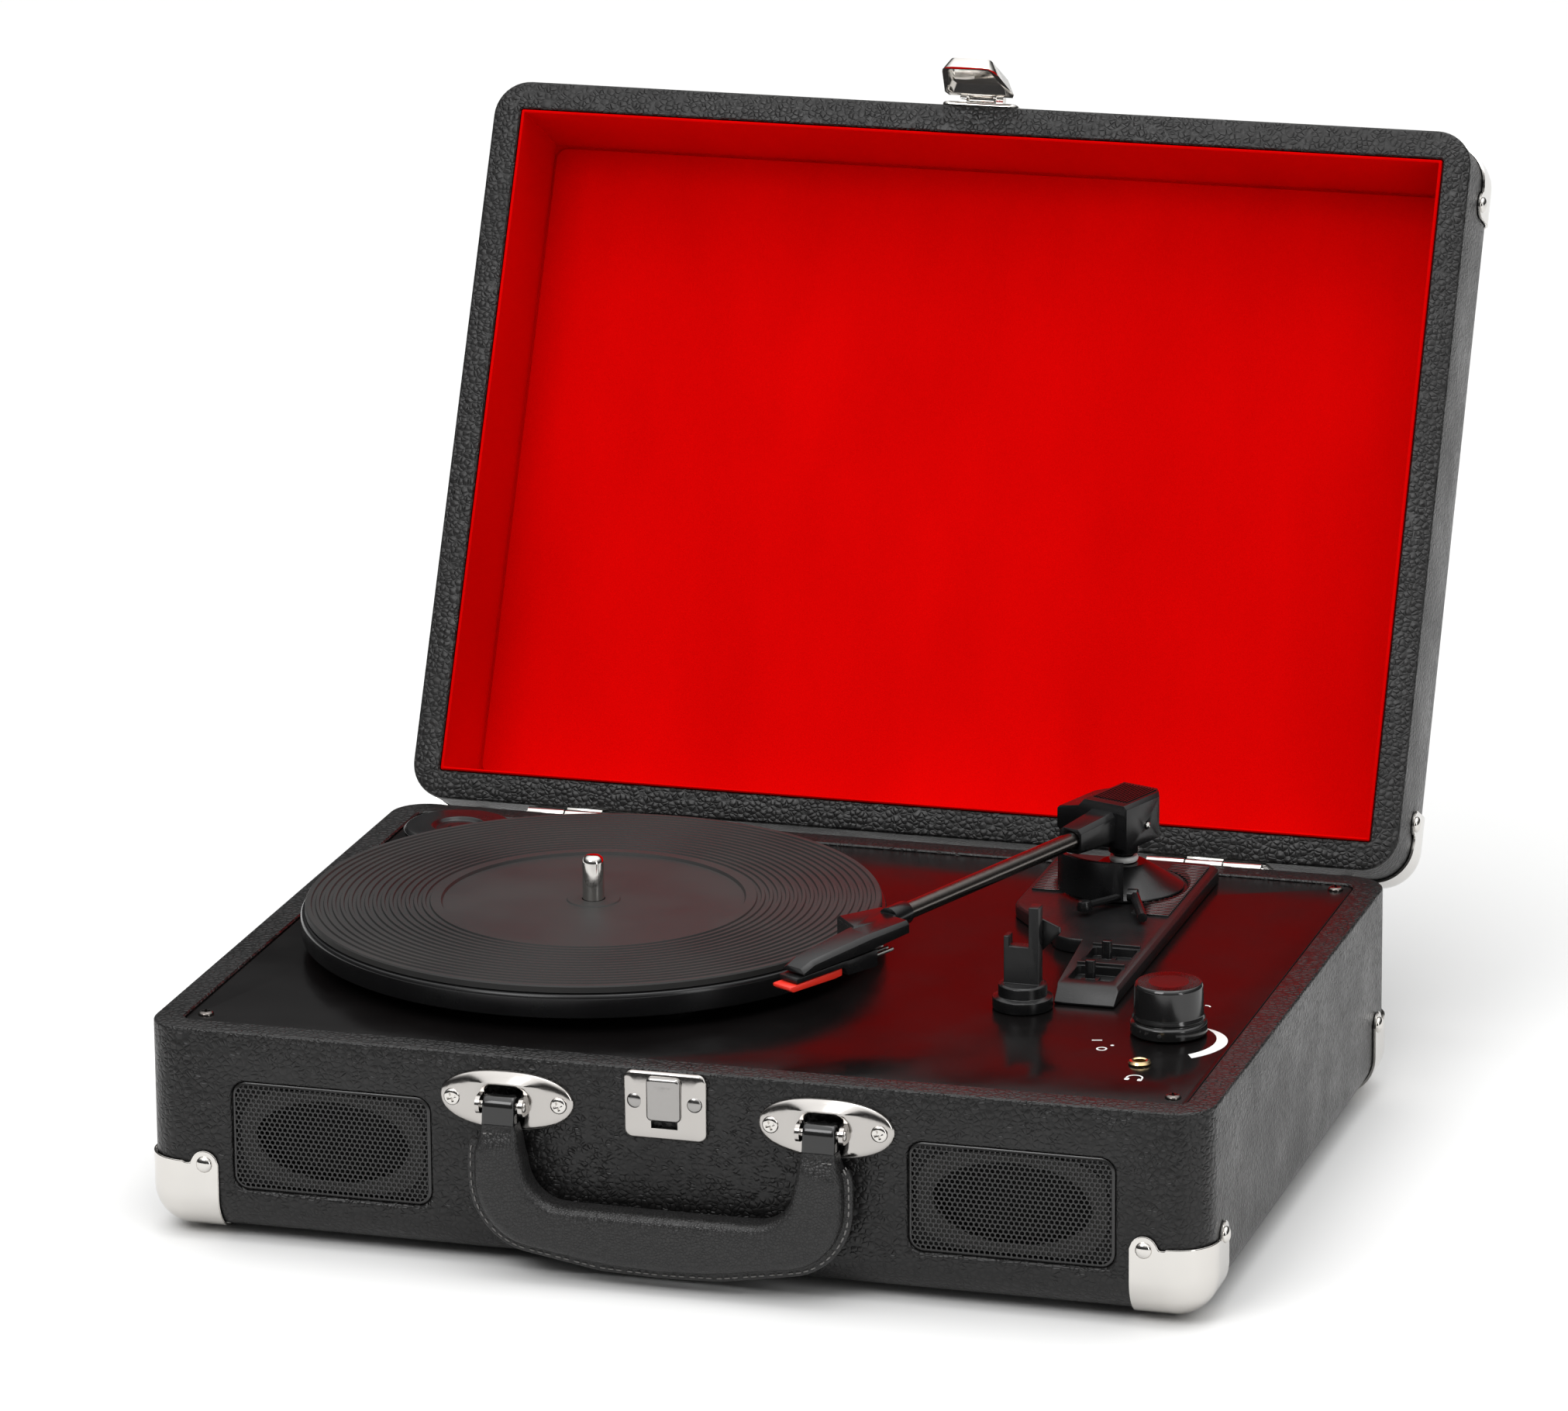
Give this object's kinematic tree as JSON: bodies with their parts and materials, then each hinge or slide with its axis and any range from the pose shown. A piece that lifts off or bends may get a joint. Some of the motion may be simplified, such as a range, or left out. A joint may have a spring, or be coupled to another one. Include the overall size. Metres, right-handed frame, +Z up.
{
  "type": "suitcase record player",
  "caption": "Portable belt-drive record player in a hinged suitcase, with a straight tonearm, front speakers, carrying handle and snap latch.",
  "frame": {"origin": "on the floor, under the middle of the box around the whole open player", "axes": "+X to the right along the front, +Y to the back, +Z up"},
  "size_m": [0.3552, 0.4276, 0.3228],
  "materials": {
    "leatherette": "embossed black leatherette, satin",
    "red_felt": "flocked bright red lining, matt",
    "deck_black": "satin black panel",
    "black_plastic": "satin moulded black",
    "gloss_black": "glossy moulded black",
    "rubber": "matt black rubber",
    "mat_rubber": "ribbed matt black slip mat",
    "grille_metal": "perforated, painted black",
    "chrome": "polished nickel plate",
    "steel": "plain plated steel",
    "gold": "gold-plated brass",
    "arm_tube": "dark anodised, glossy",
    "stylus_red": "moulded red",
    "white_plastic": "moulded white",
    "board_green": "printed circuit board",
    "soft_black": "padded embossed black with a stitched edge"
  },
  "bodies": {
    "base": {"base_case": "leatherette", "foot_front_left": "rubber", "foot_front_right": "rubber", "foot_back_left": "rubber", "foot_back_right": "rubber", "deck_plate": "deck_black", "speaker_grille_left": "grille_metal", "speaker_grille_right": "grille_metal", "speaker_left": "black_plastic", "speaker_right": "black_plastic", "amplifier_board": "board_green", "volume_potentiometer": "steel", "headphone_jack": "gold", "rear_socket_plate": "black_plastic", "motor": "steel", "drive_belt": "rubber", "spindle": "chrome", "arm_plate": "black_plastic", "arm_pivot_base": "black_plastic", "arm_pivot_collar": "white_plastic", "arm_rest": "black_plastic", "handle_bracket_left": "chrome", "handle_bracket_right": "chrome", "latch_strike": "chrome", "hinge_base_leaf_left": "chrome", "hinge_base_leaf_right": "chrome", "corner_base_front_left": "chrome", "corner_base_front_right": "chrome", "corner_base_back_left": "chrome", "corner_base_back_right": "chrome"},
    "lid": {"lid_shell": "leatherette", "lid_lining": "red_felt", "latch_plate": "chrome", "hinge_lid_leaf_left": "chrome", "hinge_lid_leaf_right": "chrome", "corner_lid_front_left": "chrome", "corner_lid_front_right": "chrome", "corner_lid_back_left": "chrome", "corner_lid_back_right": "chrome"},
    "hasp": {"latch_hasp": "chrome"},
    "handle": {"handle": "soft_black"},
    "platter": {"platter": "black_plastic", "platter_mat": "mat_rubber"},
    "pulley": {"motor_pulley": "white_plastic"},
    "arm_swivel": {"arm_yoke": "black_plastic", "arm_pivot_pin": "chrome"},
    "arm": {"arm_housing": "black_plastic", "arm_counterweight": "steel", "arm_tube": "arm_tube", "headshell": "black_plastic", "cartridge": "black_plastic", "stylus": "stylus_red"},
    "lift": {"lift_bar": "black_plastic"},
    "cue": {"cue_lever": "black_plastic"},
    "clip": {"arm_clip": "black_plastic"},
    "speed": {"speed_slider": "black_plastic"},
    "auto_stop": {"auto_stop_slider": "black_plastic"},
    "knob": {"volume_knob": "gloss_black"},
    "adapter": {"adapter_45": "black_plastic"}
  },
  "joints": [
    {"name": "lid_hinge", "type": "hinge", "parent": "base", "child": "lid", "pos_m": [0, 0.0603, 0.0697], "axis": [1, 0, 0], "range_deg": [0, 115.7]},
    {"name": "hasp_hinge", "type": "hinge", "parent": "lid", "child": "hasp", "pos_m": [0, 0.18266, 0.3048], "axis": [1, 0, 0], "range_deg": [-100, 12]},
    {"name": "handle_hinge", "type": "hinge", "parent": "base", "child": "handle", "pos_m": [0, -0.2076, 0.0573], "axis": [-1, 0, 0], "range_deg": [0, 120]},
    {"name": "platter_spin", "type": "hinge", "parent": "base", "child": "platter", "pos_m": [-0.063, -0.078, 0.084], "axis": [0, 0, 1], "continuous": true},
    {"name": "pulley_spin", "type": "hinge", "parent": "base", "child": "pulley", "pos_m": [-0.14146, -0.10656, 0.076], "axis": [0, 0, 1], "continuous": true},
    {"name": "tonearm_swing", "type": "hinge", "parent": "base", "child": "arm_swivel", "pos_m": [0.095, 0.012, 0.099], "axis": [0, 0, 1], "range_deg": [-24, 17.8]},
    {"name": "tonearm_lift", "type": "hinge", "parent": "arm_swivel", "child": "arm", "pos_m": [0.095, 0.012, 0.099], "axis": [0.9421, -0.3354, 0], "range_deg": [-12, 2.2]},
    {"name": "lift_bar_slide", "type": "slide", "parent": "base", "child": "lift", "axis": [0, 0, -1], "range_m": [-0.0028, 0]},
    {"name": "cue_lever_hinge", "type": "hinge", "parent": "base", "child": "cue", "pos_m": [0.1036, -0.0095, 0.08], "axis": [1, 0, 0], "range_deg": [-60, 0]},
    {"name": "arm_clip_hinge", "type": "hinge", "parent": "base", "child": "clip", "pos_m": [0.0962, -0.104, 0.0915], "axis": [0, 1, 0], "range_deg": [-70, 0]},
    {"name": "speed_slide", "type": "slide", "parent": "base", "child": "speed", "axis": [1, 0, 0], "range_m": [-0.0025, 0.0055]},
    {"name": "auto_stop_slide", "type": "slide", "parent": "base", "child": "auto_stop", "axis": [1, 0, 0], "range_m": [-0.0025, 0.0055]},
    {"name": "volume_turn", "type": "hinge", "parent": "base", "child": "knob", "pos_m": [0.144, -0.1215, 0.08], "axis": [0, 0, 1], "range_deg": [-150, 150]},
    {"name": "adapter_lift", "type": "slide", "parent": "base", "child": "adapter", "axis": [0, 0, 1], "range_m": [0, 0.03]}
  ],
  "couplings": [
    {"joint": "pulley_spin", "follows": "platter_spin", "ratio": 14.2}
  ]
}
